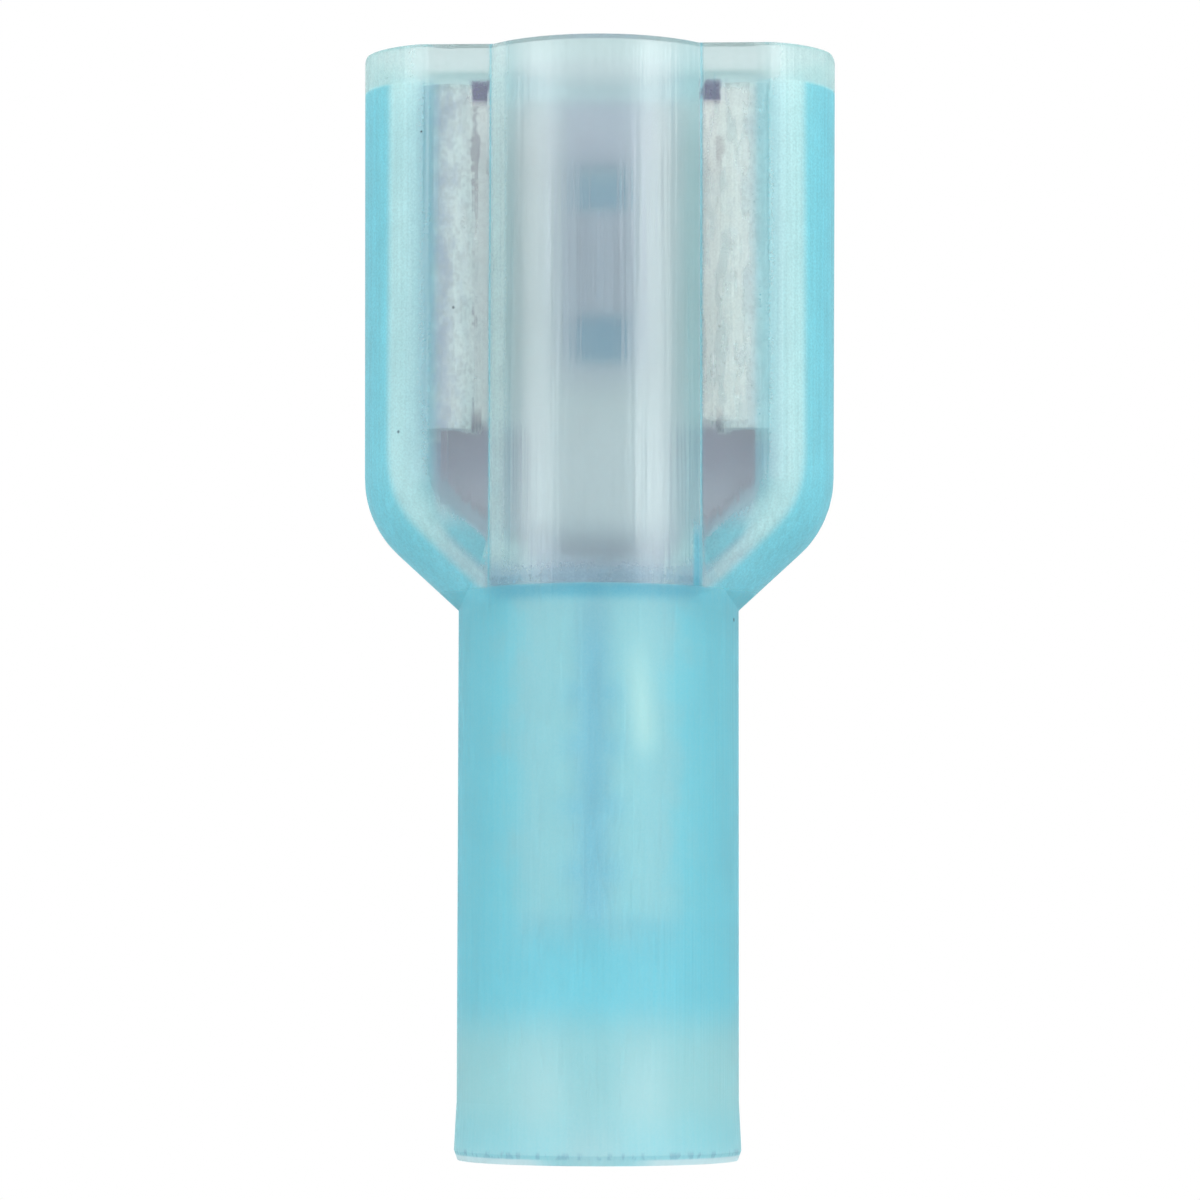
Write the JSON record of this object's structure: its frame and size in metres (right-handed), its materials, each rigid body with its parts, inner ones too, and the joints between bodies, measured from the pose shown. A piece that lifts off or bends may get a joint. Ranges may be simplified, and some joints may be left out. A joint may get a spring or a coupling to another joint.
{
  "type": "female spade terminal",
  "caption": "Fully insulated female push-on terminal: folded metal socket with rolled rails and a crimp barrel inside a flared, translucent blue nylon sleeve.",
  "frame": {"origin": "centre of the sleeve's rear end face, where the wire goes in", "axes": "+Z from the wire end up to the mouth, X across the tab's width, Y through the tab's thickness with the rolled rails and the barrel's seam towards -Y"},
  "size_m": [0.0098, 0.006, 0.023],
  "materials": {
    "blue_nylon": "translucent moulded nylon, satin",
    "tin_plated_brass": "tin-plated brass sheet, satin"
  },
  "bodies": {
    "root": {"housing": "blue_nylon", "terminal": "tin_plated_brass"}
  },
  "joints": []
}
